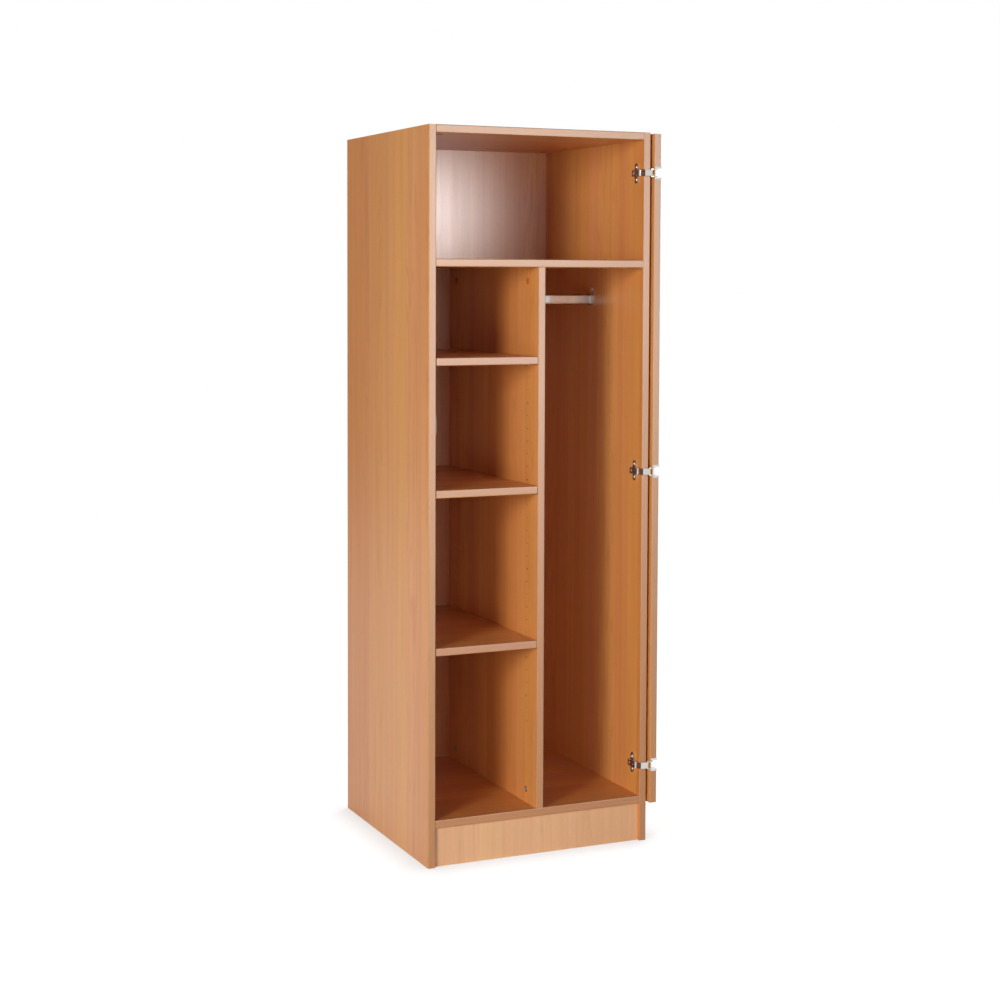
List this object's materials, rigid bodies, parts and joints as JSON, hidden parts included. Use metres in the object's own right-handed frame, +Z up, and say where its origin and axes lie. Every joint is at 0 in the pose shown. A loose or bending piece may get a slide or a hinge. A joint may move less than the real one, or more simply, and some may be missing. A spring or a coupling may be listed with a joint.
{
  "type": "single-door wardrobe",
  "caption": "Tall beech-decor wardrobe: hat shelf over small shelves and a hanging space with a rail, and a lockable door that folds back flat along its side.",
  "frame": {"origin": "on the floor, under the middle of the bounding box of the whole wardrobe with its door folded back", "axes": "+Z up, +Y to the back of the wardrobe, +X to its right as seen from the front, where the door is hung"},
  "size_m": [0.6406, 0.6018, 1.8],
  "materials": {
    "beech_board": "satin beech-decor melamine on chipboard, with matching plastic edging",
    "beech_back": "satin beech-decor melamine on a thin board",
    "nickel": "bright nickel-plated die casting and steel",
    "dark_nickel": "nickel-plated die casting",
    "brass": "plain turned brass",
    "zinc": "matt zinc",
    "rail_chrome": "polished chrome on steel tube",
    "cap_plastic": "moulded beech-coloured plastic",
    "satin_metal": "satin nickel"
  },
  "bodies": {
    "cabinet": {"left_side_panel": "beech_board", "right_side_panel": "beech_board", "top_panel": "beech_board", "bottom_panel": "beech_board", "hat_shelf": "beech_board", "partition": "beech_board", "back_panel": "beech_back", "plinth_board": "beech_board", "strike_plate": "zinc", "clothes_rail": "rail_chrome", "rail_support_left": "nickel", "rail_support_right": "nickel", "shelf_upper": "beech_board", "pin_upper_left_front": "nickel", "pin_upper_right_front": "nickel", "pin_upper_left_rear": "nickel", "pin_upper_right_rear": "nickel", "shelf_middle": "beech_board", "pin_middle_left_front": "nickel", "pin_middle_right_front": "nickel", "pin_middle_left_rear": "nickel", "pin_middle_right_rear": "nickel", "shelf_lower": "beech_board", "pin_lower_left_front": "nickel", "pin_lower_right_front": "nickel", "pin_lower_left_rear": "nickel", "pin_lower_right_rear": "nickel", "connector_cap_front": "cap_plastic", "connector_cap_rear": "cap_plastic", "connector_cam_front": "zinc", "connector_cam_rear": "zinc", "hinge_bottom_plate": "dark_nickel", "hinge_bottom_screw_upper": "nickel", "hinge_bottom_screw_lower": "nickel", "hinge_bottom_arm": "nickel", "hinge_bottom_knuckle_pin": "brass", "hinge_middle_plate": "dark_nickel", "hinge_middle_screw_upper": "nickel", "hinge_middle_screw_lower": "nickel", "hinge_middle_arm": "nickel", "hinge_middle_knuckle_pin": "brass", "hinge_top_plate": "dark_nickel", "hinge_top_screw_upper": "nickel", "hinge_top_screw_lower": "nickel", "hinge_top_arm": "nickel", "hinge_top_knuckle_pin": "brass"},
    "hinge_links": {"hinge_bottom_link": "nickel", "hinge_middle_link": "nickel", "hinge_top_link": "nickel"},
    "door": {"door": "beech_board", "door_handle": "satin_metal", "lock_case": "nickel", "hinge_bottom_cup": "nickel", "hinge_bottom_cup_pin": "zinc", "hinge_middle_cup": "nickel", "hinge_middle_cup_pin": "zinc", "hinge_top_cup": "nickel", "hinge_top_cup_pin": "zinc"},
    "lock_core": {"lock_core": "satin_metal"},
    "lock_bolt": {"lock_bolt": "zinc"}
  },
  "joints": [
    {"name": "hinge_link_swing", "type": "hinge", "parent": "cabinet", "child": "hinge_links", "pos_m": [0.28105, -0.2954, 0.947], "axis": [0, 0, 1], "range_deg": [-180, 0]},
    {"name": "door_swing", "type": "hinge", "parent": "hinge_links", "child": "door", "pos_m": [0.2931, -0.28745, 0.947], "axis": [0, 0, 1], "range_deg": [-90, 0]},
    {"name": "lock_turn", "type": "hinge", "parent": "door", "child": "lock_core", "pos_m": [0.2863, 0.25985, 1.08], "axis": [1, 0, 0], "range_deg": [0, 90]},
    {"name": "bolt_slide", "type": "slide", "parent": "door", "child": "lock_bolt", "axis": [0, 1, 0], "range_m": [0, 0.009]}
  ],
  "couplings": [
    {"joint": "hinge_link_swing", "follows": "door_swing", "ratio": 2},
    {"joint": "bolt_slide", "follows": "lock_turn", "m_per_rad": 0.005729}
  ]
}
